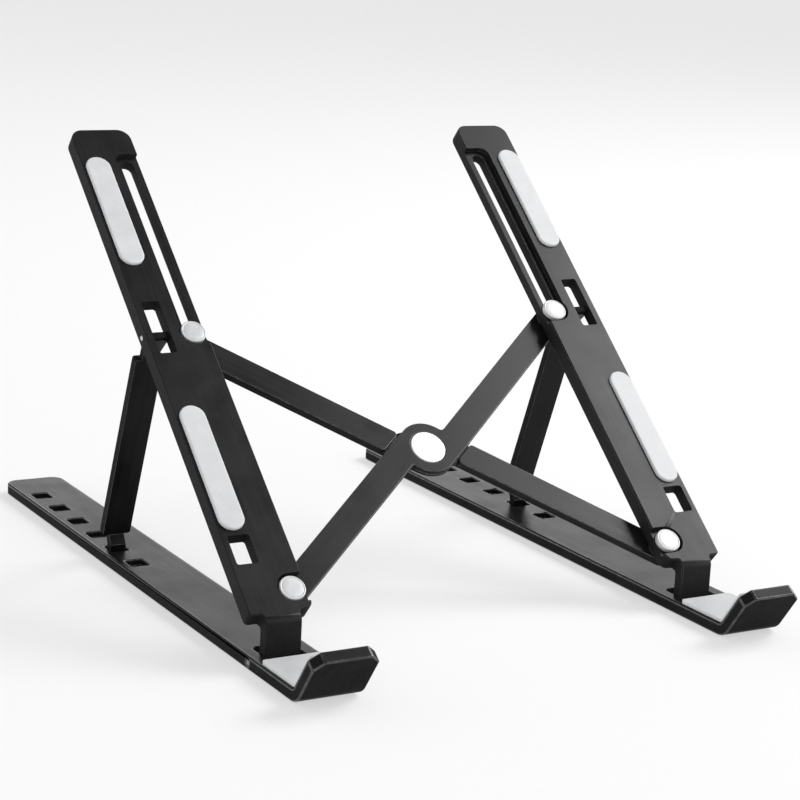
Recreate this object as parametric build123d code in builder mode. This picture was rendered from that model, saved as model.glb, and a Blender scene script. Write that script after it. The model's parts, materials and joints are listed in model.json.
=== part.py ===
from build123d import *
import os
from math import asin, atan2, cos, degrees, hypot, pi, radians, sin, sqrt, tan

# A folding X-type laptop stand. Two mirrored side units each have a base bar on the table, a sloping rail
# hinged to its front and a prop that holds the rail up. Two scissor arms join the rails, and close like
# scissors until the side units lie side by side.
#
# Frame: X to the right, Y to the back, Z up. The origin is on the table, midway between the two side units
# and midway between the hooks' tips and the back ends of the base bars. All sizes are in millimetres.

# ---- Stand ----
STAND_LENGTH = 263.4
UNIT_X = 80.9  # centre line of each side unit
RAIL_ANGLE = radians(40.3)  # slope of the rails above the table

# ---- Base bar and hook ----
BAR_WIDTH = 23.0
BAR_THICKNESS = 4.4
BAR_END_RADIUS = 5.0
EDGE_CHAMFER = 0.4
HOOK_ANGLE = radians(55.0)  # slope of the hook above the table
HOOK_LENGTH = 17.9  # along its inner face
HOOK_INNER_RADIUS = 2.5
HOOK_CORNER = 3.4  # chamfer of the tip's corners

# ---- Sockets for the prop's foot ----
LANE_X = 86.0  # centre line of the prop, the windows and the sockets
SOCKET_COUNT = 6
SOCKET_PITCH = 18.5
SOCKET_LAST_Y = 107.0  # centre of the rearmost socket
SOCKET_WIDTH = 6.8
SOCKET_LENGTH = 7.8
SOCKET_DEPTH = 2.6
SOCKET_RADIUS = 0.9
SOCKET_IN_USE = 4  # counted from the rearmost socket, which is 0

# ---- Rubber feet ----
FOOT_PROUD = 0.5  # height of the bar above the table
FOOT_SEAT = 0.8  # depth of the recess that holds a foot
FOOT_WIDTH = 13.0
FRONT_FOOT_LENGTH = 17.0
FRONT_FOOT_Y = -106.0
REAR_FOOT_LENGTH = 30.0
REAR_FOOT_Y = 107.0

# ---- Rail ----
HINGE_Y = -86.9
RAIL_INNER_X = 69.35
RAIL_OUTER_X = 92.0
RAIL_THICKNESS = 5.8
RAIL_UNDERSIDE = 6.0  # height of the underside above the hinge axis, square to the rail
RAIL_START = 9.9  # distances along the rail are counted from the hinge axis
RAIL_END = 215.4
RAIL_TOP_RADIUS = 4.8
RAIL_BOTTOM_INNER_RADIUS = 3.0
RAIL_BOTTOM_OUTER_RADIUS = 1.4
TONGUE_WIDTH = 12.7
TONGUE_BEND = 3.5  # radius of the bend in the tongue's front
TONGUE_BACK_BEND = 1.5
TONGUE_ROOT_RADIUS = 1.1
TONGUE_OVERLAP = 2.0  # the tongue runs this far into the rail
TONGUE_BARREL = 2.2  # radius of the tongue's round lower end
SLOT_WIDTH = 13.6  # slot in the base bar for the tongue
SLOT_FRONT = 6.4  # reach of that slot in front of the hinge axis
SLOT_BACK = 6.8
SLOT_RADIUS = 1.6

# ---- Slider recess and slot in the rail ----
RECESS_DEPTH = 2.0
RECESS_OUTER_X = 78.7
RECESS_CORNER = 3.2
POCKET_GAP = 0.9  # round a cap
TRACK_WIDTH = 5.0

# ---- Windows in the rail ----
UPPER_WINDOW_WIDTH = 6.5
UPPER_WINDOW_START = 113.6
UPPER_WINDOW_END = 135.8
LOWER_WINDOW_WIDTH = 7.8
LOWER_WINDOW_START = 28.6
LOWER_WINDOW_END = 39.6
WINDOW_RADIUS = 0.9
WINDOW_FLARE = 1.0  # chamfer round the windows in the rail's underside

# ---- Silicone pads ----
PAD_LANE_X = 86.4
PAD_WIDTH = 9.1
PAD_LENGTH = 49.4
PAD_SEAT = 0.5
PAD_PROUD = 1.1
LOWER_PAD_MIDDLE = 66.1
UPPER_PAD_MIDDLE = 176.6
HOOK_PAD_WIDTH = 21.2
HOOK_PAD_THICKNESS = 1.1
HOOK_PAD_BACK = 7.7  # its back edge is this far in front of the hinge axis
HOOK_PAD_RISE = 14.8  # length up the hook's inner face
HOOK_PAD_RADIUS = 1.5

# ---- Scissor arms ----
PIVOT_X = 74.0  # of all four rivets on the rails, with the stand open
PIVOT_ALONG = 18.1
SLIDER_ALONG = 122.1  # with the stand open
ARM_THICKNESS = 3.2
ARM_GAP = 0.5  # between the rails' underside and the arms
ARM_WIDTH = 10.2
ARM_OFFSET = 5.3  # each half of an arm is this far to one side of the crossing
LAP_GAP = 0.3  # between the arms' two laps
LAP_CLEARANCE = 0.6  # between one arm's lap and the other arm's full section
LAP_FILLET = 1.5
PICK_REACH = 0.1  # how near the ring's rim a corner is to be picked for that fillet

# ---- Rivets ----
CAP_RADIUS = 4.5
CAP_FLOAT = 0.05  # gap between a cap and the recess under it
CAP_TOP_BELOW_FACE = 0.1
CAP_EDGE = 0.35
CAP_SOCKET = 0.6  # how far a shank goes into its cap
SHANK_RADIUS = 2.45
FLANGE_RADIUS = 3.7
FLANGE_THICKNESS = 0.8
FLANGE_GAP = 0.2
RUN_CLEARANCE = 0.05
WASHER_RADIUS = 4.8
WASHER_THICKNESS = 0.44
CENTER_CAP_RADIUS = 6.4
CENTER_CAP_THICKNESS = 0.9
CENTER_CAP_SEAT = 0.55
CENTER_FLANGE_THICKNESS = 0.6
CENTER_WASHER_THICKNESS = 0.26

# ---- Prop ----
PROP_ANGLE = radians(20.4)  # lean of the prop from upright, foot to the back
PROP_PIN_ALONG = 122.5
PROP_WIDTH = 10.4
PROP_THICKNESS = 3.3
PROP_FRONT = 3.2  # its front face is this far behind the pin's axis
PROP_TOP = 11.0  # distances down the prop are counted from the pin's axis
PROP_BOTTOM = 85.2
PROP_CORNER = 0.8
KNUCKLE_RADIUS = 1.7
KNUCKLE_WIDTH = 5.9
TAB_WIDTH = 5.8
TAB_BACK_GAP = 2.1  # between the foot and the back wall of its socket
TAB_THICKNESS = 3.3
TAB_TAPER = 0.9
NECK_OVERLAP = 0.6  # the knuckle and the foot run this far into the prop's body
TAB_TIP_GAP = 0.1  # between the foot and the floor of its socket

# ---- Hinge pins ----
HINGE_PIN_RADIUS = 1.25
HINGE_PIN_LENGTH = 21.0
HINGE_PIN_SUNK = 0.2  # how far its end lies below the outer side face
PROP_PIN_RADIUS = 0.9
PROP_PIN_LENGTH = 12.0
PROP_PIN_PROUD = 0.5  # how far its end stands out of the outer side face

# ---- Worked out from the above ----
BAR_BOTTOM = FOOT_PROUD
BAR_TOP = BAR_BOTTOM + BAR_THICKNESS
BAR_BACK_Y = STAND_LENGTH / 2
BAR_OUTER_X = UNIT_X + BAR_WIDTH / 2
HINGE_Z = BAR_BOTTOM + TONGUE_BARREL
HOOK_BEND_Y = -STAND_LENGTH / 2 + HOOK_LENGTH * cos(HOOK_ANGLE) + BAR_THICKNESS * sin(HOOK_ANGLE)
HOOK_DIRECTION = (0, -cos(HOOK_ANGLE), sin(HOOK_ANGLE))
RAIL_FACE = RAIL_UNDERSIDE + RAIL_THICKNESS
RECESS_FLOOR = RAIL_FACE - RECESS_DEPTH
CAP_TOP = RAIL_FACE - CAP_TOP_BELOW_FACE
ARM_TOP = RAIL_UNDERSIDE - ARM_GAP
ARM_BOTTOM = ARM_TOP - ARM_THICKNESS
LAP_THICKNESS = (ARM_THICKNESS - LAP_GAP) / 2
CROSSING_ALONG = (PIVOT_ALONG + SLIDER_ALONG) / 2
HALF_SPAN = hypot(PIVOT_X, CROSSING_ALONG - PIVOT_ALONG)
HALF_REACH = sqrt(HALF_SPAN ** 2 - ARM_OFFSET ** 2)
RING_RADIUS = ARM_OFFSET + ARM_WIDTH / 2
SLIDER_CLOSED = PIVOT_ALONG + 2 * HALF_REACH
ARM_ANGLE = atan2(CROSSING_ALONG - PIVOT_ALONG, PIVOT_X) + asin(ARM_OFFSET / HALF_SPAN)
PROP_PIN_HEIGHT = RAIL_UNDERSIDE + RAIL_THICKNESS / 2
PROP_BACK = PROP_FRONT + PROP_THICKNESS
SOCKET_IN_USE_Y = SOCKET_LAST_Y - SOCKET_IN_USE * SOCKET_PITCH

RAIL_NORMAL = (0, -sin(RAIL_ANGLE), cos(RAIL_ANGLE))
RAIL_PLANE = Plane(origin=(0, HINGE_Y, HINGE_Z), x_dir=(1, 0, 0), z_dir=RAIL_NORMAL)


def rail_point(along, height):
    """Y and Z of a point at a distance along the rail and a height square to it, from the hinge axis."""
    y = HINGE_Y + along * cos(RAIL_ANGLE) - height * sin(RAIL_ANGLE)
    z = HINGE_Z + along * sin(RAIL_ANGLE) + height * cos(RAIL_ANGLE)
    return (y, z)


def prop_point(down, behind):
    """Y and Z of a point at a distance down the prop and behind it, from the axis of its hinge pin."""
    pin_y, pin_z = rail_point(PROP_PIN_ALONG, PROP_PIN_HEIGHT)
    y = pin_y + down * sin(PROP_ANGLE) + behind * cos(PROP_ANGLE)
    z = pin_z - down * cos(PROP_ANGLE) + behind * sin(PROP_ANGLE)
    return (y, z)


def side_plane(side, middle_x, width):
    """Plane square to X at the low-X face of something of that width, so that +X is into it."""
    return Plane.YZ.offset(side * middle_x - width / 2)


def save(piece, name):
    """Label one finished piece and write it to its own file."""
    piece.part.label = name
    export_step(piece.part, f"parts/{name}.step")


# ---- Base ----
def hook_point(up, out):
    """Y and Z of a point at a distance up the hook's inner face and out of it, from the bend."""
    y = HOOK_BEND_Y - up * cos(HOOK_ANGLE) - out * sin(HOOK_ANGLE)
    z = BAR_TOP + up * sin(HOOK_ANGLE) - out * cos(HOOK_ANGLE)
    return (y, z)


def bend_point(depth):
    """Y and Z of the bend's corner at a depth below the bar's top and the hook's inner face."""
    return (HOOK_BEND_Y - depth * tan(HOOK_ANGLE / 2), BAR_TOP - depth)


def nearest(sketch, point):
    """The vertex of an open sketch that is nearest to a point."""
    return sketch.vertices().sort_by_distance((*point, 0))[0]


def foot_outline(side, middle_y, length):
    """Draw the outline of a foot, or of its recess, in the open sketch."""
    with Locations((side * UNIT_X, middle_y)):
        RectangleRounded(FOOT_WIDTH, length, FOOT_WIDTH / 4)


def make_base_bar(side):
    bend_inner = bend_point(0)
    bend_outer = bend_point(BAR_THICKNESS)
    with BuildPart() as bar:
        with BuildSketch(side_plane(side, UNIT_X, BAR_WIDTH)) as profile:
            with BuildLine():
                Polyline(
                    (BAR_BACK_Y, BAR_BOTTOM),
                    bend_outer,
                    hook_point(HOOK_LENGTH, BAR_THICKNESS),
                    hook_point(HOOK_LENGTH, 0),
                    bend_inner,
                    (BAR_BACK_Y, BAR_TOP),
                    close=True,
                )
            make_face()
            fillet(nearest(profile, bend_inner), HOOK_INNER_RADIUS)
            fillet(nearest(profile, bend_outer), HOOK_INNER_RADIUS + BAR_THICKNESS)
        extrude(amount=BAR_WIDTH)
        back_corners = bar.edges().filter_by(Axis.Z).group_by(Axis.Y)[-1]
        fillet(back_corners, BAR_END_RADIUS)
        tip = bar.faces().sort_by(Axis((0, 0, 0), HOOK_DIRECTION))[-1]
        chamfer(tip.edges().filter_by(Axis.X, reverse=True), HOOK_CORNER)
        top_edges = bar.edges().filter_by(Axis.Y).group_by(Axis.Z)[-1]
        chamfer(top_edges, EDGE_CHAMFER)
        # Sockets for the prop's foot.
        with BuildSketch(Plane.XY.offset(BAR_TOP)):
            for number in range(SOCKET_COUNT):
                with Locations((side * LANE_X, SOCKET_LAST_Y - number * SOCKET_PITCH)):
                    RectangleRounded(SOCKET_WIDTH, SOCKET_LENGTH, SOCKET_RADIUS)
        extrude(amount=-SOCKET_DEPTH, mode=Mode.SUBTRACT)
        # Slot for the rail's tongue and bore for its hinge pin.
        with BuildSketch(Plane.XY.offset(BAR_TOP)):
            with Locations((side * UNIT_X, HINGE_Y + (SLOT_BACK - SLOT_FRONT) / 2)):
                RectangleRounded(SLOT_WIDTH, SLOT_BACK + SLOT_FRONT, SLOT_RADIUS)
        extrude(amount=-BAR_THICKNESS, mode=Mode.SUBTRACT)
        with BuildSketch(Plane.YZ.offset(side * BAR_OUTER_X)):
            with Locations((HINGE_Y, HINGE_Z)):
                Circle(HINGE_PIN_RADIUS)
        extrude(amount=-side * (HINGE_PIN_LENGTH + HINGE_PIN_SUNK), mode=Mode.SUBTRACT)
        # Recesses for the feet.
        with BuildSketch(Plane.XY.offset(BAR_BOTTOM)):
            foot_outline(side, FRONT_FOOT_Y, FRONT_FOOT_LENGTH)
            foot_outline(side, REAR_FOOT_Y, REAR_FOOT_LENGTH)
        extrude(amount=FOOT_SEAT, mode=Mode.SUBTRACT)
    return bar


def make_foot(side, middle_y, length):
    with BuildPart() as foot:
        with BuildSketch(Plane.XY):
            foot_outline(side, middle_y, length)
        extrude(amount=FOOT_PROUD + FOOT_SEAT)
        rim = foot.faces().sort_by(Axis.Z)[0].edges()
        chamfer(rim, FOOT_PROUD / 2)
    return foot


def make_hook_pad(side):
    """A silicone sheet on the bar in front of the hinge and up the hook's inner face."""
    back_y = HINGE_Y - HOOK_PAD_BACK
    bend_under = bend_point(0)
    bend_top = bend_point(-HOOK_PAD_THICKNESS)
    with BuildPart() as pad:
        with BuildSketch(side_plane(side, UNIT_X, HOOK_PAD_WIDTH)) as profile:
            with BuildLine():
                Polyline(
                    (back_y, BAR_TOP),
                    bend_under,
                    hook_point(HOOK_PAD_RISE, 0),
                    hook_point(HOOK_PAD_RISE, -HOOK_PAD_THICKNESS),
                    bend_top,
                    (back_y, BAR_TOP + HOOK_PAD_THICKNESS),
                    close=True,
                )
            make_face()
            fillet(nearest(profile, bend_under), HOOK_INNER_RADIUS)
            fillet(nearest(profile, bend_top), HOOK_INNER_RADIUS - HOOK_PAD_THICKNESS)
        extrude(amount=HOOK_PAD_WIDTH)
        back_corners = pad.edges().filter_by(Axis.Z).group_by(Axis.Y)[-1]
        fillet(back_corners, HOOK_PAD_RADIUS)
        end = pad.faces().sort_by(Axis((0, 0, 0), HOOK_DIRECTION))[-1]
        fillet(end.edges().filter_by(Axis.X, reverse=True), HOOK_PAD_RADIUS)
    return pad


# ---- Rail ----
def front_bend_along():
    """Distance along the rail of the corner between its face and the tongue's front."""
    return (RAIL_FACE * sin(RAIL_ANGLE) - TONGUE_BARREL) / cos(RAIL_ANGLE)


def rail_outline(side, plate):
    """Draw the rail's outline and the root of its tongue in the open sketch."""
    root = front_bend_along() + TONGUE_BEND * tan((pi / 2 - RAIL_ANGLE) / 2)
    with Locations((side * (RAIL_INNER_X + RAIL_OUTER_X) / 2, (RAIL_START + RAIL_END) / 2)):
        Rectangle(RAIL_OUTER_X - RAIL_INNER_X, RAIL_END - RAIL_START)
    fillet(plate.vertices().group_by(Axis.Y)[-1], RAIL_TOP_RADIUS)
    fillet(nearest(plate, (side * RAIL_INNER_X, RAIL_START)), RAIL_BOTTOM_INNER_RADIUS)
    fillet(nearest(plate, (side * RAIL_OUTER_X, RAIL_START)), RAIL_BOTTOM_OUTER_RADIUS)
    with Locations((side * UNIT_X, (root + RAIL_START) / 2)):
        Rectangle(TONGUE_WIDTH, RAIL_START - root)
    for x in (UNIT_X - TONGUE_WIDTH / 2, UNIT_X + TONGUE_WIDTH / 2):
        fillet(nearest(plate, (side * x, RAIL_START)), TONGUE_ROOT_RADIUS)


def recess_outline(side, recess):
    """Draw the slider's recess and the pivot's pocket, both open at the rail's inner edge."""
    end = SLIDER_CLOSED + CAP_RADIUS + RUN_CLEARANCE
    pocket = CAP_RADIUS + POCKET_GAP
    with Locations((side * (RAIL_INNER_X + RECESS_OUTER_X) / 2, (SLIDER_ALONG + end) / 2)):
        Rectangle(RECESS_OUTER_X - RAIL_INNER_X, end - SLIDER_ALONG)
    fillet(nearest(recess, (side * RECESS_OUTER_X, end)), RECESS_CORNER)
    for along in (PIVOT_ALONG, SLIDER_ALONG):
        with Locations((side * PIVOT_X, along)):
            Circle(pocket)
        with Locations((side * (RAIL_INNER_X + PIVOT_X) / 2, along)):
            Rectangle(PIVOT_X - RAIL_INNER_X, 2 * pocket)


def window_outline(side, start, end, width):
    """Draw a window of the prop's lane in the open sketch."""
    with Locations((side * LANE_X, (start + end) / 2)):
        RectangleRounded(width, end - start, WINDOW_RADIUS)


def make_tongue(side):
    """The tongue, from inside the rail's lower end down to its round end on the hinge pin."""
    front_y = HINGE_Y - TONGUE_BARREL
    back_y = HINGE_Y + TONGUE_BARREL
    inside = RAIL_START + TONGUE_OVERLAP
    front_bend = rail_point(front_bend_along(), RAIL_FACE)
    back_bend_along = (RAIL_UNDERSIDE * sin(RAIL_ANGLE) + TONGUE_BARREL) / cos(RAIL_ANGLE)
    back_bend = rail_point(back_bend_along, RAIL_UNDERSIDE)
    with BuildPart() as tongue:
        with BuildSketch(side_plane(side, UNIT_X, TONGUE_WIDTH)) as profile:
            with BuildLine():
                Polyline(
                    (front_y, HINGE_Z),
                    front_bend,
                    rail_point(inside, RAIL_FACE),
                    rail_point(inside, RAIL_UNDERSIDE),
                    back_bend,
                    (back_y, HINGE_Z),
                )
                ThreePointArc((back_y, HINGE_Z), (HINGE_Y, HINGE_Z - TONGUE_BARREL), (front_y, HINGE_Z))
            make_face()
            fillet(nearest(profile, front_bend), TONGUE_BEND)
            fillet(nearest(profile, back_bend), TONGUE_BACK_BEND)
        extrude(amount=TONGUE_WIDTH)
        front = tongue.edges().filter_by(lambda edge: edge.center().Y < front_y + TONGUE_BEND / 4)
        front = front.filter_by(lambda edge: edge.center().Z > HINGE_Z)
        chamfer(front.filter_by(Axis.X, reverse=True), EDGE_CHAMFER)
    return tongue


def make_rail(side):
    tongue = make_tongue(side)
    normal = Axis((0, 0, 0), RAIL_NORMAL)
    with BuildPart() as rail:
        with BuildSketch(RAIL_PLANE.offset(RAIL_UNDERSIDE)) as plate:
            rail_outline(side, plate)
        extrude(amount=RAIL_THICKNESS)
        face = rail.faces().sort_by(normal)[-1]
        rim = face.edges().sort_by(Axis((0, 0, 0), RAIL_PLANE.y_dir))[1:]
        chamfer(rim, EDGE_CHAMFER)
        add(tongue.part)
        with BuildSketch(RAIL_PLANE.offset(RAIL_FACE)) as recess:
            recess_outline(side, recess)
        extrude(amount=-RECESS_DEPTH, mode=Mode.SUBTRACT)
        # Track for the slider's shank, hole for the pivot's shank, and windows.
        track_end = SLIDER_CLOSED + RUN_CLEARANCE
        with BuildSketch(RAIL_PLANE.offset(RAIL_UNDERSIDE)):
            with Locations((side * PIVOT_X, (SLIDER_ALONG + track_end) / 2)):
                SlotCenterToCenter(track_end - SLIDER_ALONG, TRACK_WIDTH, rotation=90)
            with Locations((side * PIVOT_X, PIVOT_ALONG)):
                Circle(SHANK_RADIUS)
            window_outline(side, UPPER_WINDOW_START, UPPER_WINDOW_END, UPPER_WINDOW_WIDTH)
            window_outline(side, LOWER_WINDOW_START, LOWER_WINDOW_END, LOWER_WINDOW_WIDTH)
        extrude(amount=RAIL_THICKNESS, mode=Mode.SUBTRACT)
        underside = rail.faces().filter_by(RAIL_PLANE).sort_by(normal)[0]
        windows = underside.inner_wires().filter_by(lambda wire: abs(wire.center().X) > RECESS_OUTER_X)
        chamfer(windows.edges(), WINDOW_FLARE)
        # Seats for the pads.
        with BuildSketch(RAIL_PLANE.offset(RAIL_FACE)):
            for middle in (LOWER_PAD_MIDDLE, UPPER_PAD_MIDDLE):
                with Locations((side * PAD_LANE_X, middle)):
                    SlotOverall(PAD_LENGTH, PAD_WIDTH, rotation=90)
        extrude(amount=-PAD_SEAT, mode=Mode.SUBTRACT)
        # Bores for the two hinge pins.
        with BuildSketch(side_plane(side, UNIT_X, TONGUE_WIDTH)):
            with Locations((HINGE_Y, HINGE_Z)):
                Circle(HINGE_PIN_RADIUS + RUN_CLEARANCE)
        extrude(amount=TONGUE_WIDTH, mode=Mode.SUBTRACT)
        with BuildSketch(Plane.YZ.offset(side * RAIL_OUTER_X)):
            with Locations(rail_point(PROP_PIN_ALONG, PROP_PIN_HEIGHT)):
                Circle(PROP_PIN_RADIUS)
        extrude(amount=-side * (PROP_PIN_LENGTH - PROP_PIN_PROUD), mode=Mode.SUBTRACT)
    return rail


def make_rail_pad(side, middle):
    with BuildPart() as pad:
        with BuildSketch(RAIL_PLANE.offset(RAIL_FACE - PAD_SEAT)):
            with Locations((side * PAD_LANE_X, middle)):
                SlotOverall(PAD_LENGTH, PAD_WIDTH, rotation=90)
        extrude(amount=PAD_SEAT + PAD_PROUD)
        top = pad.faces().sort_by(Axis((0, 0, 0), RAIL_NORMAL))[-1]
        fillet(top.edges(), PAD_PROUD / 2)
    return pad


# ---- Prop ----
def foot_points():
    """Corners of the prop's foot in side view, from inside the body down into the socket."""
    back_y = SOCKET_IN_USE_Y + SOCKET_LENGTH / 2 - TAB_BACK_GAP
    front_y = back_y - TAB_THICKNESS
    top_z = BAR_TOP + PROP_THICKNESS / 2
    tip_z = BAR_TOP - SOCKET_DEPTH + TAB_TIP_GAP
    return [
        prop_point(PROP_BOTTOM - NECK_OVERLAP, PROP_FRONT),
        prop_point(PROP_BOTTOM - NECK_OVERLAP, PROP_BACK),
        prop_point(PROP_BOTTOM, PROP_BACK),
        (back_y, top_z),
        (back_y, tip_z),
        (front_y + TAB_TAPER, tip_z),
        (front_y, top_z),
        prop_point(PROP_BOTTOM, PROP_FRONT),
    ]


def neck_points():
    """Corners of the prop's neck in side view, from the middle of its knuckle down into the body."""
    back = PROP_BACK - PROP_CORNER
    front_tangent = KNUCKLE_RADIUS * sqrt(0.5)
    return [
        prop_point(0, 0),
        prop_point(0, KNUCKLE_RADIUS),
        prop_point(PROP_TOP / 2, back),
        prop_point(PROP_TOP + NECK_OVERLAP, back),
        prop_point(PROP_TOP + NECK_OVERLAP, PROP_FRONT),
        prop_point(PROP_TOP - 2 * PROP_CORNER, PROP_FRONT),
        prop_point(front_tangent, -front_tangent),
    ]


def make_prop(side):
    across = Axis((0, 0, 0), (0, cos(PROP_ANGLE), sin(PROP_ANGLE)))
    with BuildPart() as prop:
        with BuildSketch(side_plane(side, LANE_X, PROP_WIDTH)):
            with BuildLine():
                Polyline(
                    prop_point(PROP_TOP, PROP_FRONT),
                    prop_point(PROP_TOP, PROP_BACK),
                    prop_point(PROP_BOTTOM, PROP_BACK),
                    prop_point(PROP_BOTTOM, PROP_FRONT),
                    close=True,
                )
            make_face()
        extrude(amount=PROP_WIDTH)
        fillet(prop.edges().filter_by(across), PROP_CORNER)
        with BuildSketch(side_plane(side, LANE_X, TAB_WIDTH)):
            with BuildLine():
                Polyline(*foot_points(), close=True)
            make_face()
        extrude(amount=TAB_WIDTH)
        with BuildSketch(side_plane(side, LANE_X, KNUCKLE_WIDTH)):
            with Locations(prop_point(0, 0)):
                Circle(KNUCKLE_RADIUS)
            with BuildLine():
                Polyline(*neck_points(), close=True)
            make_face()
        extrude(amount=KNUCKLE_WIDTH)
        with BuildSketch(side_plane(side, LANE_X, KNUCKLE_WIDTH)):
            with Locations(prop_point(0, 0)):
                Circle(PROP_PIN_RADIUS + RUN_CLEARANCE)
        extrude(amount=KNUCKLE_WIDTH, mode=Mode.SUBTRACT)
    return prop


# ---- Hinge pins ----
def make_cross_pin(side, outer_end_x, center, radius, length):
    with BuildPart() as pin:
        with BuildSketch(Plane.YZ.offset(side * outer_end_x)):
            with Locations(center):
                Circle(radius)
        extrude(amount=-side * length)
        outer_end = pin.faces().sort_by(Axis.X)[-1 if side > 0 else 0]
        chamfer(outer_end.edges(), radius / 4)
    return pin


# ---- Scissor arms ----
def arm_plane(hand, height):
    """Plane of one arm: local X runs along the arm, from its pivot end to its slider end."""
    along = (hand * cos(ARM_ANGLE), sin(ARM_ANGLE) * cos(RAIL_ANGLE), sin(ARM_ANGLE) * sin(RAIL_ANGLE))
    center = RAIL_PLANE.from_local_coords((0, CROSSING_ALONG, height))
    return Plane(origin=center, x_dir=along, z_dir=RAIL_NORMAL)


def arm_outline(hand):
    """Draw an arm's outline: two straight halves, side by side at a ring round the crossing."""
    inner = hand * (ARM_OFFSET - ARM_WIDTH / 2)
    middle = hand * ARM_OFFSET
    outer = hand * RING_RADIUS
    root = sqrt(RING_RADIUS ** 2 - inner ** 2)
    end = HALF_REACH + ARM_WIDTH / 2
    diagonal = RING_RADIUS * sqrt(0.5)
    with BuildLine() as outline:
        for way in (-1, 1):
            Line((0, -way * outer), (way * HALF_REACH, -way * outer))
            ThreePointArc((way * HALF_REACH, -way * outer), (way * end, -way * middle),
                          (way * HALF_REACH, -way * inner))
            Line((way * HALF_REACH, -way * inner), (way * root, -way * inner))
            ThreePointArc((way * root, -way * inner), (way * diagonal, way * hand * diagonal),
                          (0, way * outer))
    make_face(outline.edges())


def near(vertices, low, high):
    """The vertices of a sketch whose distance from its origin lies between two values."""
    return vertices.filter_by(lambda vertex: low < hypot(vertex.X, vertex.Y) < high)


def make_arm(hand, lap_on_top):
    """Arm from one side's pivot (hand 1: the left one) to the other side's slider, halved at the crossing."""
    lap_start = ARM_TOP - LAP_THICKNESS if lap_on_top else ARM_BOTTOM
    rest_start = ARM_BOTTOM if lap_on_top else ARM_BOTTOM + LAP_THICKNESS
    strip = 2 * (RING_RADIUS + LAP_CLEARANCE)
    turn = hand * (90 - 2 * degrees(ARM_ANGLE))
    pivot = (-HALF_REACH, hand * ARM_OFFSET)
    slider = (HALF_REACH, -hand * ARM_OFFSET)
    with BuildPart() as arm:
        with BuildSketch(arm_plane(hand, lap_start)) as lap:
            arm_outline(hand)
            at_ring = near(lap.vertices(), RING_RADIUS - PICK_REACH, RING_RADIUS + PICK_REACH)
            fillet(at_ring.group_by(Axis.Y)[1], LAP_FILLET)
        extrude(amount=LAP_THICKNESS)
        with BuildSketch(arm_plane(hand, rest_start)) as halves:
            arm_outline(hand)
            Rectangle(strip, 4 * strip, rotation=turn, mode=Mode.SUBTRACT)
            fillet(near(halves.vertices(), RING_RADIUS, 2 * RING_RADIUS), LAP_FILLET)
        extrude(amount=ARM_THICKNESS - LAP_THICKNESS)
        with BuildSketch(arm_plane(hand, ARM_BOTTOM)):
            with Locations(pivot):
                Circle(SHANK_RADIUS + RUN_CLEARANCE)
            with Locations(slider):
                Circle(SHANK_RADIUS)
            with Locations((0, 0)):
                Circle(SHANK_RADIUS if lap_on_top else SHANK_RADIUS + RUN_CLEARANCE)
        extrude(amount=ARM_THICKNESS, mode=Mode.SUBTRACT)
        with BuildSketch(arm_plane(hand, ARM_BOTTOM)):
            with Locations(pivot, slider):
                Circle(FLANGE_RADIUS + FLANGE_GAP)
        extrude(amount=FLANGE_THICKNESS + FLANGE_GAP, mode=Mode.SUBTRACT)
        if lap_on_top:
            with BuildSketch(arm_plane(hand, ARM_TOP)):
                Circle(CENTER_CAP_RADIUS + FLANGE_GAP)
            extrude(amount=-CENTER_CAP_SEAT, mode=Mode.SUBTRACT)
        else:
            with BuildSketch(arm_plane(hand, ARM_BOTTOM)):
                Circle(FLANGE_RADIUS + FLANGE_GAP)
            extrude(amount=CENTER_FLANGE_THICKNESS + FLANGE_GAP, mode=Mode.SUBTRACT)
    return arm


# ---- Rivets on the rails and at the crossing ----
def make_rivet_pin(x, along, flange_bottom, flange_thickness, top):
    with BuildPart() as pin:
        with BuildSketch(RAIL_PLANE.offset(flange_bottom)):
            with Locations((x, along)):
                Circle(FLANGE_RADIUS)
        extrude(amount=flange_thickness)
        with BuildSketch(RAIL_PLANE.offset(flange_bottom)):
            with Locations((x, along)):
                Circle(SHANK_RADIUS)
        extrude(amount=top - flange_bottom)
    return pin


def make_cap(x, along, radius, bottom, top, socket):
    """A flat round cap with a rounded rim and a socket below for the rivet's shank."""
    with BuildPart() as cap:
        with BuildSketch(RAIL_PLANE.offset(bottom)):
            with Locations((x, along)):
                Circle(radius)
        extrude(amount=top - bottom)
        crown = cap.faces().sort_by(Axis((0, 0, 0), RAIL_NORMAL))[-1]
        fillet(crown.edges(), CAP_EDGE)
        with BuildSketch(RAIL_PLANE.offset(bottom)):
            with Locations((x, along)):
                Circle(SHANK_RADIUS)
        extrude(amount=socket, mode=Mode.SUBTRACT)
    return cap


def make_washer(x, along, bottom, thickness):
    with BuildPart() as washer:
        with BuildSketch(RAIL_PLANE.offset(bottom)):
            with Locations((x, along)):
                Circle(WASHER_RADIUS)
                Circle(SHANK_RADIUS + 2 * RUN_CLEARANCE, mode=Mode.SUBTRACT)
        extrude(amount=thickness)
    return washer


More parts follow.
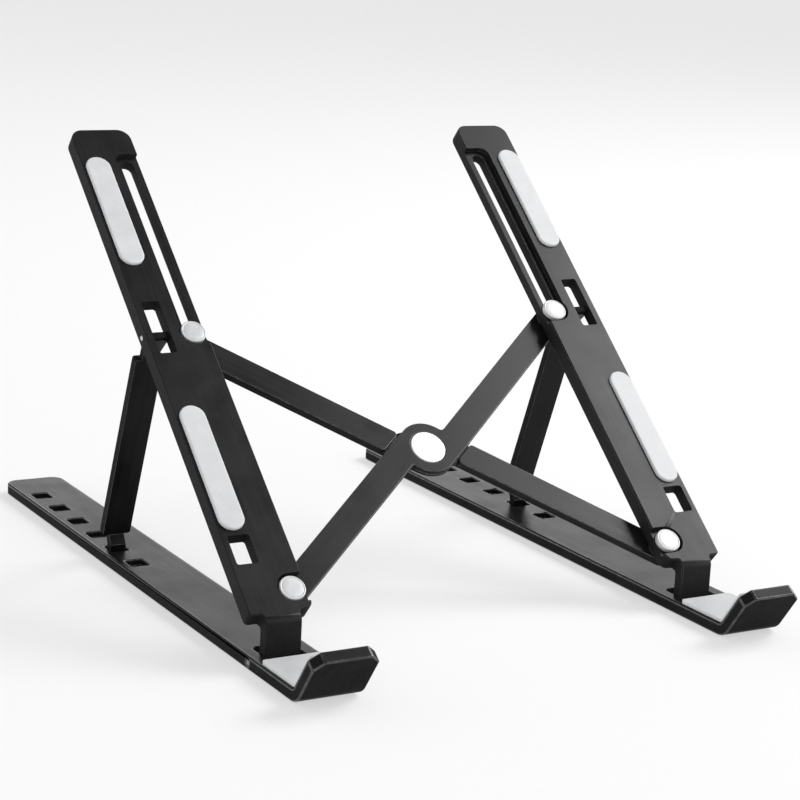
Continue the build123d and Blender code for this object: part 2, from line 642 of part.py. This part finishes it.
# ---- Assembly ----
def save_side_unit(side, name):
    flange_bottom = ARM_BOTTOM + FLANGE_GAP / 2
    washer_bottom = RAIL_UNDERSIDE - (ARM_GAP + WASHER_THICKNESS) / 2
    save(make_base_bar(side), f"{name}_base_bar")
    save(make_foot(side, FRONT_FOOT_Y, FRONT_FOOT_LENGTH), f"{name}_front_foot")
    save(make_foot(side, REAR_FOOT_Y, REAR_FOOT_LENGTH), f"{name}_rear_foot")
    save(make_hook_pad(side), f"{name}_hook_pad")
    save(make_rail(side), f"{name}_rail")
    save(make_rail_pad(side, LOWER_PAD_MIDDLE), f"{name}_lower_pad")
    save(make_rail_pad(side, UPPER_PAD_MIDDLE), f"{name}_upper_pad")
    save(make_prop(side), f"{name}_prop")
    hinge_end_x = BAR_OUTER_X - HINGE_PIN_SUNK
    hinge_pin = make_cross_pin(side, hinge_end_x, (HINGE_Y, HINGE_Z), HINGE_PIN_RADIUS, HINGE_PIN_LENGTH)
    save(hinge_pin, f"{name}_rail_hinge_pin")
    prop_end_x = RAIL_OUTER_X + PROP_PIN_PROUD
    prop_pin = make_cross_pin(side, prop_end_x, prop_point(0, 0), PROP_PIN_RADIUS, PROP_PIN_LENGTH)
    save(prop_pin, f"{name}_prop_hinge_pin")
    for kind, along in (("pivot", PIVOT_ALONG), ("slider", SLIDER_ALONG)):
        x = side * PIVOT_X
        cap_bottom = RECESS_FLOOR if kind == "pivot" else RECESS_FLOOR + CAP_FLOAT
        pin_top = cap_bottom + CAP_SOCKET
        save(make_rivet_pin(x, along, flange_bottom, FLANGE_THICKNESS, pin_top), f"{name}_{kind}_pin")
        save(make_cap(x, along, CAP_RADIUS, cap_bottom, CAP_TOP, CAP_SOCKET), f"{name}_{kind}_cap")
        save(make_washer(x, along, washer_bottom, WASHER_THICKNESS), f"{name}_{kind}_washer")


def save_crossing():
    flange_bottom = ARM_BOTTOM + FLANGE_GAP / 2
    cap_bottom = ARM_TOP - CENTER_CAP_SEAT
    cap_top = cap_bottom + CENTER_CAP_THICKNESS
    socket = CENTER_CAP_THICKNESS / 2
    washer_bottom = ARM_BOTTOM + LAP_THICKNESS + (LAP_GAP - CENTER_WASHER_THICKNESS) / 2
    save(make_arm(1, True), "scissor_arm_front")
    save(make_arm(-1, False), "scissor_arm_back")
    pin = make_rivet_pin(0, CROSSING_ALONG, flange_bottom, CENTER_FLANGE_THICKNESS, cap_bottom + socket)
    save(pin, "center_pin")
    save(make_cap(0, CROSSING_ALONG, CENTER_CAP_RADIUS, cap_bottom, cap_top, socket), "center_cap")
    save(make_washer(0, CROSSING_ALONG, washer_bottom, CENTER_WASHER_THICKNESS), "center_washer")


os.makedirs("parts", exist_ok=True)
save_side_unit(-1, "left")
save_side_unit(1, "right")
save_crossing()
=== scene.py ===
import json
from math import cos, pi, radians, sin

import bmesh
import bpy
from mathutils import Matrix, Vector

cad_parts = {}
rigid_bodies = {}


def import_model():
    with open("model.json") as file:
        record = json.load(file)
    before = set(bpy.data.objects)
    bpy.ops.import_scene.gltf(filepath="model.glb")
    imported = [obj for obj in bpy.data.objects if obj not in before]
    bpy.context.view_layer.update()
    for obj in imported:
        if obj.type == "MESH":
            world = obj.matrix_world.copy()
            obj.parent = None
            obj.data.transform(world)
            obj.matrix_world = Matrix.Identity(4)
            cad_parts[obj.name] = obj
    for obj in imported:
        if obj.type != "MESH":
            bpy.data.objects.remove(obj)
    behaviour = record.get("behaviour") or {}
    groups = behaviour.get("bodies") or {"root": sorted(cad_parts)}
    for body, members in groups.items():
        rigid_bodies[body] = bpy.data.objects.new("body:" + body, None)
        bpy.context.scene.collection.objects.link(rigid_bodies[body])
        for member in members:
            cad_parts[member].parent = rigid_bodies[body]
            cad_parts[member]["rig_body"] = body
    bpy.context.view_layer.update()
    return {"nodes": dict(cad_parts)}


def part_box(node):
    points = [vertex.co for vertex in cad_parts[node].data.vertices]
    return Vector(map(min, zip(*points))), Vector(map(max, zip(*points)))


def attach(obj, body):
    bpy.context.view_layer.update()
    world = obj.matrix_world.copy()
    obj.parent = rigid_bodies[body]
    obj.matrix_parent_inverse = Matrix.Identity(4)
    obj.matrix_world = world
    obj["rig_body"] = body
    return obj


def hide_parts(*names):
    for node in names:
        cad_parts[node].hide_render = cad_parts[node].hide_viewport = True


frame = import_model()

# A folding X-type laptop stand: black anodised aluminium, light grey silicone pads and satin rivet caps.
# Everything is in metres, in the frame of the CAD model: X to the right, Y to the back, Z up.

MM = 0.001
NODES = frame["nodes"]
SIDES = ("left", "right")

# ---- Camera ----
CAMERA_AT = Vector((-386.5, -670.5, 240.25)) * MM
CAMERA_YAW = radians(30.57)  # to the right of +Y
CAMERA_PITCH = radians(-13.03)
CAMERA_ROLL = radians(2.88)
SENSOR = 36.0
LENS = 99.15
CLIP_NEAR = 0.01
CLIP_FAR = 50

# ---- Directions of the parts ----
RAIL_TURN = radians(40.3)  # about X, from +Y
PROP_TURN = radians(-69.6)  # about X, from +Y
ARM_SPREAD = radians(38.5)  # of each scissor arm from X, in the plane of the rails
RAIL_NORMAL = Vector((0, -sin(RAIL_TURN), cos(RAIL_TURN)))
RAIL_UP = Vector((0, cos(RAIL_TURN), sin(RAIL_TURN)))


def make_camera():
    level_share = cos(CAMERA_PITCH)
    ahead = Vector((sin(CAMERA_YAW) * level_share, cos(CAMERA_YAW) * level_share, sin(CAMERA_PITCH)))
    level = Vector((cos(CAMERA_YAW), -sin(CAMERA_YAW), 0))
    upright = level.cross(ahead)
    right = level * cos(CAMERA_ROLL) + upright * sin(CAMERA_ROLL)
    up = upright * cos(CAMERA_ROLL) - level * sin(CAMERA_ROLL)
    data = bpy.data.cameras.new("camera")
    data.lens = LENS
    data.sensor_width = SENSOR
    data.clip_start = CLIP_NEAR
    data.clip_end = CLIP_FAR
    camera = bpy.data.objects.new("camera", data)
    bpy.context.scene.collection.objects.link(camera)
    camera.matrix_world = Matrix.Translation(CAMERA_AT) @ Matrix((right, up, -ahead)).transposed().to_4x4()
    bpy.context.scene.camera = camera


# ---- Material helpers ----
# Sockets of the Mix node that share a name and are told apart by number.
NUMBER_A = 2
NUMBER_B = 3
NUMBER_RESULT = 0
COLOR_A = 6
COLOR_B = 7
COLOR_RESULT = 2


def new_material(name):
    material = bpy.data.materials.new(name)
    material.use_nodes = True
    nodes = material.node_tree.nodes
    return material, nodes, material.node_tree.links, nodes["Principled BSDF"]


def coordinates(nodes, links, turn=0.0, spin=0.0, scale=(1, 1, 1)):
    """The object's own coordinates, turned back so that Y runs along the part, then scaled."""
    place = nodes.new("ShaderNodeTexCoord")
    turned = nodes.new("ShaderNodeMapping")
    turned.inputs["Rotation"].default_value = (-turn, 0, spin)
    scaled = nodes.new("ShaderNodeMapping")
    scaled.inputs["Scale"].default_value = scale
    links.new(place.outputs["Object"], turned.inputs["Vector"])
    links.new(turned.outputs["Vector"], scaled.inputs["Vector"])
    return scaled.outputs["Vector"]


def noise(nodes, links, vector, scale, detail, roughness):
    node = nodes.new("ShaderNodeTexNoise")
    node.inputs["Scale"].default_value = scale
    node.inputs["Detail"].default_value = detail
    node.inputs["Roughness"].default_value = roughness
    links.new(vector, node.inputs["Vector"])
    return node.outputs["Fac"]


def span(nodes, links, value, low, high, start=0.3, end=0.7):
    """Map a value from start..end to low..high; the default range suits a single noise."""
    node = nodes.new("ShaderNodeMapRange")
    node.inputs["From Min"].default_value = start
    node.inputs["From Max"].default_value = end
    node.inputs["To Min"].default_value = low
    node.inputs["To Max"].default_value = high
    links.new(value, node.inputs["Value"])
    return node.outputs["Result"]


def tone_span(nodes, links, tone, low, high):
    """Map a weighed sum of two noises, which varies less than one noise, to low..high."""
    return span(nodes, links, tone, low, high, start=0.38, end=0.62)


def blend_colors(nodes, links, factor, first, second):
    """Mix two colours; each is a tuple or a socket."""
    node = nodes.new("ShaderNodeMix")
    node.data_type = "RGBA"
    links.new(factor, node.inputs["Factor"])
    for socket, value in ((node.inputs[COLOR_A], first), (node.inputs[COLOR_B], second)):
        if isinstance(value, tuple):
            socket.default_value = (*value, 1)
        else:
            links.new(value, socket)
    return node.outputs[COLOR_RESULT]


def weigh(nodes, links, first, second, share):
    """First and second noise added, with this share of the first."""
    node = nodes.new("ShaderNodeMix")
    node.inputs["Factor"].default_value = 1 - share
    links.new(first, node.inputs[NUMBER_A])
    links.new(second, node.inputs[NUMBER_B])
    return node.outputs[NUMBER_RESULT]


def bump(nodes, links, shader, height, depth, strength):
    node = nodes.new("ShaderNodeBump")
    node.inputs["Strength"].default_value = strength
    node.inputs["Distance"].default_value = depth
    links.new(height, node.inputs["Height"])
    links.new(node.outputs["Normal"], shader.inputs["Normal"])


def cut_faces(nodes, links, turn):
    """1 on a flat part's cut sides and ends, 0 on its two wide faces; turn is the part's slope about X."""
    place = nodes.new("ShaderNodeTexCoord")
    turned = nodes.new("ShaderNodeMapping")
    turned.inputs["Rotation"].default_value = (-turn, 0, 0)
    parts = nodes.new("ShaderNodeSeparateXYZ")
    size = nodes.new("ShaderNodeMath")
    size.operation = "ABSOLUTE"
    links.new(place.outputs["Normal"], turned.inputs["Vector"])
    links.new(turned.outputs["Vector"], parts.inputs["Vector"])
    links.new(parts.outputs["Z"], size.inputs[0])
    return span(nodes, links, size.outputs["Value"], 1, 0, start=0.6, end=0.92)


# ---- Materials ----
BLACK_LOW = (0.0035, 0.0035, 0.0038)
BLACK_HIGH = (0.0085, 0.0085, 0.009)
# Lighter colour of the edges: partly wear, partly a painted highlight standing in for light caught along the
# edges.
EDGE_WEAR_AND_HIGHLIGHT = (0.06, 0.06, 0.061)
RAIL_SPECULAR = 0.19
BAR_SPECULAR = 0.10
EDGE_SPECULAR = 0.5
SATIN_LOW = 0.28
SATIN_HIGH = 0.38
CUT_LOW = 0.66  # roughness of the cut sides and ends
CUT_HIGH = 0.86
STREAK_SCALE = (1, 0.03, 1)  # draws noise out along Y

SILICONE_DARK = (0.50, 0.508, 0.515)
SILICONE_LIGHT = (0.57, 0.575, 0.58)
STEEL_DARK = (0.42, 0.42, 0.43)
STEEL_LIGHT = (0.66, 0.66, 0.67)
HINGE_STEEL_DARK = (0.10, 0.10, 0.10)
HINGE_STEEL_LIGHT = (0.30, 0.30, 0.31)
RUBBER_DARK = (0.02, 0.02, 0.02)
RUBBER_LIGHT = (0.035, 0.035, 0.036)
NYLON_DARK = (0.03, 0.03, 0.03)
NYLON_LIGHT = (0.05, 0.05, 0.05)
LIGHT_CAP_DARK = (0.44, 0.445, 0.45)
LIGHT_CAP_LIGHT = (0.55, 0.555, 0.56)
BRIGHT_CAP_DARK = (0.90, 0.90, 0.90)
BRIGHT_CAP_LIGHT = (0.97, 0.97, 0.97)


def black_metal(name, turn, spin=0.0, low=SATIN_LOW, high=SATIN_HIGH, wear_and_highlight=0.0, specular=RAIL_SPECULAR):
    """Satin black anodised aluminium, blasted, with faint streaks along the part; the argument after high,
    for edges only, mixes in by noise a lighter colour that is partly wear and partly a painted highlight.
    """
    material, nodes, links, shader = new_material(name)
    along = coordinates(nodes, links, turn, spin, STREAK_SCALE)
    plain = coordinates(nodes, links)
    grain = noise(nodes, links, plain, scale=1900, detail=2.0, roughness=0.6)
    streaks = noise(nodes, links, along, scale=900, detail=3.0, roughness=0.6)
    patches = noise(nodes, links, plain, scale=55, detail=3.0, roughness=0.55)
    tone = weigh(nodes, links, patches, streaks, share=0.6)
    color = blend_colors(nodes, links, tone_span(nodes, links, tone, 0, 1), BLACK_LOW, BLACK_HIGH)
    # Painted highlight and wear on the edges: noise mixes the lighter edge colour into the black.
    if wear_and_highlight:
        wear_and_highlight_noise = noise(nodes, links, plain, scale=320, detail=4.0, roughness=0.7)
        wear_and_highlight_mask = span(nodes, links, wear_and_highlight_noise, 0, wear_and_highlight, start=0.42, end=0.62)
        color = blend_colors(nodes, links, wear_and_highlight_mask, color, EDGE_WEAR_AND_HIGHLIGHT)
    links.new(color, shader.inputs["Base Color"])
    smooth = tone_span(nodes, links, tone, low, high)
    if wear_and_highlight:
        links.new(smooth, shader.inputs["Roughness"])
    else:
        finish = nodes.new("ShaderNodeMix")
        links.new(cut_faces(nodes, links, turn), finish.inputs["Factor"])
        links.new(smooth, finish.inputs[NUMBER_A])
        links.new(span(nodes, links, grain, CUT_LOW, CUT_HIGH), finish.inputs[NUMBER_B])
        links.new(finish.outputs[NUMBER_RESULT], shader.inputs["Roughness"])
    shader.inputs["Specular IOR Level"].default_value = specular
    relief = weigh(nodes, links, grain, streaks, share=0.7)
    bump(nodes, links, shader, relief, depth=0.012 * MM, strength=0.6)
    return material


def silicone(name):
    """Matt light grey silicone with a fine moulded grain and faint mottling."""
    material, nodes, links, shader = new_material(name)
    plain = coordinates(nodes, links)
    mottle = noise(nodes, links, plain, scale=130, detail=3.0, roughness=0.6)
    grain = noise(nodes, links, plain, scale=1400, detail=3.0, roughness=0.6)
    color = blend_colors(nodes, links, span(nodes, links, mottle, 0, 1), SILICONE_DARK, SILICONE_LIGHT)
    links.new(color, shader.inputs["Base Color"])
    links.new(span(nodes, links, mottle, 0.5, 0.62), shader.inputs["Roughness"])
    bump(nodes, links, shader, grain, depth=0.03 * MM, strength=0.5)
    return material


def cap_metal(name, dark, light, low, high):
    """Satin rivet cap, turned: faint rings round its own axis, which is its local Z."""
    material, nodes, links, shader = new_material(name)
    place = nodes.new("ShaderNodeTexCoord")
    flat = nodes.new("ShaderNodeVectorMath")
    flat.operation = "MULTIPLY"
    flat.inputs[1].default_value = (1, 1, 0)
    radius = nodes.new("ShaderNodeVectorMath")
    radius.operation = "LENGTH"
    across = nodes.new("ShaderNodeCombineXYZ")
    links.new(place.outputs["Object"], flat.inputs[0])
    links.new(flat.outputs["Vector"], radius.inputs[0])
    links.new(radius.outputs["Value"], across.inputs["X"])
    rings = noise(nodes, links, across.outputs["Vector"], scale=9000, detail=3.0, roughness=0.7)
    mottle = noise(nodes, links, place.outputs["Object"], scale=420, detail=3.0, roughness=0.6)
    tone = weigh(nodes, links, rings, mottle, share=0.55)
    color = blend_colors(nodes, links, tone_span(nodes, links, tone, 0, 1), dark, light)
    links.new(color, shader.inputs["Base Color"])
    links.new(tone_span(nodes, links, tone, low, high), shader.inputs["Roughness"])
    shader.inputs["Metallic"].default_value = 0.25
    bump(nodes, links, shader, rings, depth=0.008 * MM, strength=0.5)
    return material


def steel(name, dark, light):
    """Dulled turned steel for pins and rivet shanks; its fine rings run round X."""
    material, nodes, links, shader = new_material(name)
    across = coordinates(nodes, links, scale=(8, 1, 1))
    turned = noise(nodes, links, across, scale=900, detail=3.0, roughness=0.6)
    stain = noise(nodes, links, coordinates(nodes, links), scale=500, detail=4.0, roughness=0.65)
    color = blend_colors(nodes, links, span(nodes, links, stain, 0, 1), dark, light)
    links.new(color, shader.inputs["Base Color"])
    links.new(span(nodes, links, turned, 0.25, 0.42), shader.inputs["Roughness"])
    shader.inputs["Metallic"].default_value = 1.0
    bump(nodes, links, shader, turned, depth=0.006 * MM, strength=0.6)
    return material


def dark_polymer(name, dark, light, low, high, grain_scale):
    """Rubber of the feet, or nylon of the washers; low and high are its roughness."""
    material, nodes, links, shader = new_material(name)
    plain = coordinates(nodes, links)
    mottle = noise(nodes, links, plain, scale=160, detail=4.0, roughness=0.6)
    grain = noise(nodes, links, plain, scale=grain_scale, detail=3.0, roughness=0.65)
    color = blend_colors(nodes, links, span(nodes, links, mottle, 0, 1), dark, light)
    links.new(color, shader.inputs["Base Color"])
    links.new(span(nodes, links, mottle, low, high), shader.inputs["Roughness"])
    bump(nodes, links, shader, grain, depth=0.04 * MM, strength=0.7)
    return material


def paint(names, *materials):
    for name in names:
        data = NODES[name].data
        data.materials.clear()
        for material in materials:
            data.materials.append(material)


def both_sides(*kinds):
    return [f"{side}_{kind}" for side in SIDES for kind in kinds]


# ---- Broken edges ----
WELD = 0.002 * MM
FLAT_ANGLE = radians(0.4)
EDGE_ANGLE = radians(32)
EDGE_WIDTH = 0.38 * MM
BAR_EDGE_WIDTH = 0.55 * MM
ARM_EDGE_WIDTH = 0.3 * MM
# Slot of the edge material, whose lighter colour is partly wear and partly a painted highlight.
WEAR_AND_HIGHLIGHT_SLOT = 1


def break_edges(name, width=EDGE_WIDTH, segments=2, clamp=False):
    """Round a CAD node's sharp edges a little; the new faces take its second material, the edge one, whose
    lighter colour is partly wear and partly a painted highlight.
    """
    node = NODES[name]
    weld = node.modifiers.new("weld", "WELD")
    weld.merge_threshold = WELD
    flat = node.modifiers.new("flat", "DECIMATE")
    flat.decimate_type = "DISSOLVE"
    flat.angle_limit = FLAT_ANGLE
    bevel = node.modifiers.new("edges", "BEVEL")
    bevel.width = width
    bevel.segments = segments
    bevel.limit_method = "ANGLE"
    bevel.angle_limit = EDGE_ANGLE
    bevel.use_clamp_overlap = clamp
    bevel.harden_normals = True
    bevel.material = WEAR_AND_HIGHLIGHT_SLOT
    bevel.miter_outer = "MITER_ARC"


# ---- Rivet caps ----
CAP_STEPS = 96  # round a cap
RIM_STEPS = 6
RIM_RADIUS = 0.42 * MM
GROOVE_INSET = 0.78 * MM  # from the cap's outside to the middle of its groove
GROOVE_DEPTH = 0.16 * MM
GROOVE_HALF = 0.13 * MM
GROOVE_LIP = 2.2  # where the flat middle ends, in half widths of the groove
GROOVE_SHOULDER = 0.15  # share of the groove's depth at its half width
CAP_UNDER = 0.12 * MM  # chamfer of the underside
INNER_RING = 0.45  # share of the radius
UNDER_RING = 0.6


def lathe(name, profile, steps=CAP_STEPS):
    """Turn a list of (radius, height) points about Z into a closed mesh; the first and last radius are 0."""
    mesh = bpy.data.meshes.new(name)
    work = bmesh.new()
    rings = []
    for radius, height in profile:
        if radius == 0:
            rings.append([work.verts.new((0, 0, height))])
            continue
        ring = []
        for step in range(steps):
            angle = 2 * pi * step / steps
            ring.append(work.verts.new((radius * cos(angle), radius * sin(angle), height)))
        rings.append(ring)
    for lower, upper in zip(rings, rings[1:]):
        for step in range(steps):
            after = (step + 1) % steps
            corners = [lower[step % len(lower)], lower[after % len(lower)],
                       upper[after % len(upper)], upper[step % len(upper)]]
            work.faces.new(list(dict.fromkeys(corners)))
    bmesh.ops.recalc_face_normals(work, faces=work.faces)
    for face in work.faces:
        face.smooth = True
    work.to_mesh(mesh)
    work.free()
    return bpy.data.objects.new(name, mesh)


def cap_profile(radius, thickness):
    """Section of a cap: a flat middle inside a fine groove, a rounded rim and a flat underside."""
    groove = radius - GROOVE_INSET
    shoulder = thickness - GROOVE_SHOULDER * GROOVE_DEPTH
    points = [(0, thickness), (radius * INNER_RING, thickness),
              (groove - GROOVE_LIP * GROOVE_HALF, thickness), (groove - GROOVE_HALF, shoulder),
              (groove, thickness - GROOVE_DEPTH), (groove + GROOVE_HALF, shoulder)]
    for step in range(RIM_STEPS + 1):
        angle = pi / 2 * step / RIM_STEPS
        out = radius - RIM_RADIUS + RIM_RADIUS * sin(angle)
        points.append((out, thickness - RIM_RADIUS + RIM_RADIUS * cos(angle)))
    points += [(radius, CAP_UNDER), (radius - CAP_UNDER, 0), (radius * UNDER_RING, 0), (0, 0)]
    return points


def make_cap(node_name, material):
    """A detailed cap in the place of a CAD cap, on its own axis."""
    low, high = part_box(node_name)
    center = (low + high) / 2
    heights = [(vertex.co - center).dot(RAIL_NORMAL) for vertex in NODES[node_name].data.vertices]
    cap = lathe(f"{node_name}_turned", cap_profile((high.x - low.x) / 2, max(heights) - min(heights)))
    turn = Matrix((Vector((1, 0, 0)), RAIL_UP, RAIL_NORMAL)).transposed().to_4x4()
    cap.matrix_world = Matrix.Translation(center + RAIL_NORMAL * min(heights)) @ turn
    bpy.context.scene.collection.objects.link(cap)
    cap.data.materials.append(material)
    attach(cap, NODES[node_name]["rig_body"])
    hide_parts(node_name)


# ---- Floor and light ----
FLOOR_HALF = 12.0
FLOOR_COLOR = 0.36
FLOOR_GLOW = 0.54
FLOOR_ROUGHNESS = 0.9
OVERHEAD_STRENGTH = 0.35
HORIZON_STRENGTH = 1.7
HORIZON_TOP = 0.42  # sine of the elevation up to which the background is bright
HORIZON_FADE = 0.64  # sine of the elevation above which it is dark
KEY_AIM = Vector((0, 0, 0.06))
KEY_AZIMUTH = radians(-6)  # from +X towards +Y
KEY_ELEVATION = radians(41)
KEY_DISTANCE = 2.0
KEY_SIZE = 1.0
KEY_POWER = 34


def make_floor():
    mesh = bpy.data.meshes.new("floor")
    corners = [(-1, -1), (1, -1), (1, 1), (-1, 1)]
    mesh.from_pydata([(FLOOR_HALF * x, FLOOR_HALF * y, 0) for x, y in corners], [], [(0, 1, 2, 3)])
    floor = bpy.data.objects.new("floor", mesh)
    bpy.context.scene.collection.objects.link(floor)
    material, nodes, links, shader = new_material("floor")
    shader.inputs["Base Color"].default_value = (FLOOR_COLOR, FLOOR_COLOR, FLOOR_COLOR, 1)
    shader.inputs["Roughness"].default_value = FLOOR_ROUGHNESS
    shader.inputs["Specular IOR Level"].default_value = 0.0
    shader.inputs["Emission Color"].default_value = (1, 1, 1, 1)
    shader.inputs["Emission Strength"].default_value = FLOOR_GLOW
    mesh.materials.append(material)


def make_key_light():
    """One large soft box at the right."""
    data = bpy.data.lights.new("key", "AREA")
    data.shape = "SQUARE"
    data.size = KEY_SIZE
    data.energy = KEY_POWER
    light = bpy.data.objects.new("key", data)
    level_share = cos(KEY_ELEVATION)
    away = Vector((cos(KEY_AZIMUTH) * level_share, sin(KEY_AZIMUTH) * level_share, sin(KEY_ELEVATION)))
    light.location = KEY_AIM + away * KEY_DISTANCE
    light.rotation_mode = "QUATERNION"
    light.rotation_quaternion = (-away).to_track_quat("-Z", "Y")
    bpy.context.scene.collection.objects.link(light)


def make_world():
    """A studio whose background is bright up to some way above the horizon, and dim overhead."""
    world = bpy.data.worlds.new("studio")
    bpy.context.scene.world = world
    world.use_nodes = True
    nodes = world.node_tree.nodes
    links = world.node_tree.links
    place = nodes.new("ShaderNodeTexCoord")
    parts = nodes.new("ShaderNodeSeparateXYZ")
    links.new(place.outputs["Generated"], parts.inputs["Vector"])
    strength = span(nodes, links, parts.outputs["Z"], HORIZON_STRENGTH, OVERHEAD_STRENGTH,
                    start=HORIZON_TOP, end=HORIZON_FADE)
    nodes["Background"].inputs["Color"].default_value = (1, 1, 1, 1)
    links.new(strength, nodes["Background"].inputs["Strength"])


make_camera()
make_floor()
make_world()
make_key_light()

# Edge material: satin black with a lighter colour mixed in by noise, partly wear and partly a painted
# highlight along the edges.
edge = black_metal("black_edge_wear_and_highlight", 0.0, low=0.24, high=0.36, wear_and_highlight=0.8, specular=EDGE_SPECULAR)
for side in SIDES:
    paint([f"{side}_rail"], black_metal(f"{side}_rail_black", RAIL_TURN), edge)
    paint([f"{side}_base_bar"], black_metal(f"{side}_bar_black", 0.0, specular=BAR_SPECULAR), edge)
    paint([f"{side}_prop"], black_metal(f"{side}_prop_black", PROP_TURN, specular=BAR_SPECULAR), edge)
paint(["scissor_arm_front"], black_metal("arm_front_black", RAIL_TURN, pi / 2 - ARM_SPREAD), edge)
paint(["scissor_arm_back"], black_metal("arm_back_black", RAIL_TURN, pi / 2 + ARM_SPREAD), edge)
for name in ("scissor_arm_front", "scissor_arm_back"):
    break_edges(name, ARM_EDGE_WIDTH)
for side in SIDES:
    break_edges(f"{side}_base_bar", BAR_EDGE_WIDTH, segments=3)
    break_edges(f"{side}_rail", clamp=True)
    break_edges(f"{side}_prop", clamp=True)

paint(both_sides("hook_pad", "lower_pad", "upper_pad"), silicone("silicone"))
shank = steel("steel", STEEL_DARK, STEEL_LIGHT)
paint(both_sides("prop_hinge_pin", "pivot_pin", "slider_pin"), shank)
paint(["center_pin"], shank)
paint(both_sides("rail_hinge_pin"), steel("dark_steel", HINGE_STEEL_DARK, HINGE_STEEL_LIGHT))
rubber = dark_polymer("foot_rubber", RUBBER_DARK, RUBBER_LIGHT, low=0.7, high=0.85, grain_scale=1100)
paint(both_sides("front_foot", "rear_foot"), rubber)
nylon = dark_polymer("nylon", NYLON_DARK, NYLON_LIGHT, low=0.4, high=0.5, grain_scale=700)
paint(both_sides("pivot_washer", "slider_washer"), nylon)
paint(["center_washer"], nylon)

light_cap = cap_metal("light_cap", LIGHT_CAP_DARK, LIGHT_CAP_LIGHT, low=0.38, high=0.52)
bright_cap = cap_metal("bright_cap", BRIGHT_CAP_DARK, BRIGHT_CAP_LIGHT, low=0.25, high=0.35)
for name in both_sides("pivot_cap", "slider_cap"):
    make_cap(name, light_cap)
make_cap("center_cap", bright_cap)

bpy.context.scene.view_settings.view_transform = "Standard"
